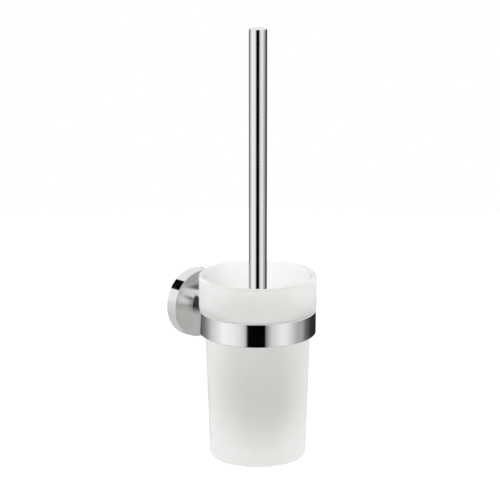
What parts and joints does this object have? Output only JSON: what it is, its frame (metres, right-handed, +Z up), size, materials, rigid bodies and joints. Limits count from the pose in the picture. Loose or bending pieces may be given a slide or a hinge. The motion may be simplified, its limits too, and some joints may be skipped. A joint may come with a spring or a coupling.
{
  "type": "toilet brush holder",
  "caption": "Wall-mounted toilet brush holder: chrome ring on a short arm and round rosette, frosted glass tumbler, and a brush with a straight round chrome handle.",
  "frame": {"origin": "on the wall's surface, midway between the bracket's two wall-screw holes, which is the centre of the rosette and of the arm", "axes": "+Z up, +Y into the wall, the holder stands out towards -Y"},
  "size_m": [0.1052, 0.1411, 0.3878],
  "materials": {
    "chrome": "polished",
    "zinc": "die-cast",
    "steel": "bright",
    "brass": "turned",
    "frosted_glass": "satin frosted",
    "clear_plastic": "soft translucent",
    "rubber": "matte",
    "white_plastic": "moulded",
    "nylon_bristle": "fine filaments"
  },
  "bodies": {
    "holder": {"wall_bracket": "zinc", "rosette_cover": "chrome", "set_screw": "steel", "arm": "chrome", "arm_rear_screw": "steel", "arm_front_screw": "steel", "support_ring": "chrome", "ring_liner": "clear_plastic"},
    "glass": {"glass_tumbler": "frosted_glass"},
    "brush": {"handle_tube": "chrome", "handle_top_cap": "chrome", "handle_lower_bush": "brass", "head_stud": "steel", "handle_seal_ring": "rubber", "brush_core": "white_plastic", "bristle_row_1": "nylon_bristle", "bristle_row_2": "nylon_bristle", "bristle_row_3": "nylon_bristle", "bristle_row_4": "nylon_bristle", "bristle_row_5": "nylon_bristle", "bristle_row_6": "nylon_bristle", "bristle_row_7": "nylon_bristle", "bristle_row_8": "nylon_bristle", "bristle_row_9": "nylon_bristle", "bristle_tip": "nylon_bristle"}
  },
  "joints": [
    {"name": "glass_lift", "type": "slide", "parent": "holder", "child": "glass", "axis": [0, 0, 1], "range_m": [0, 0.15]},
    {"name": "brush_lift", "type": "slide", "parent": "glass", "child": "brush", "axis": [0, 0, 1], "range_m": [0, 0.17]}
  ]
}
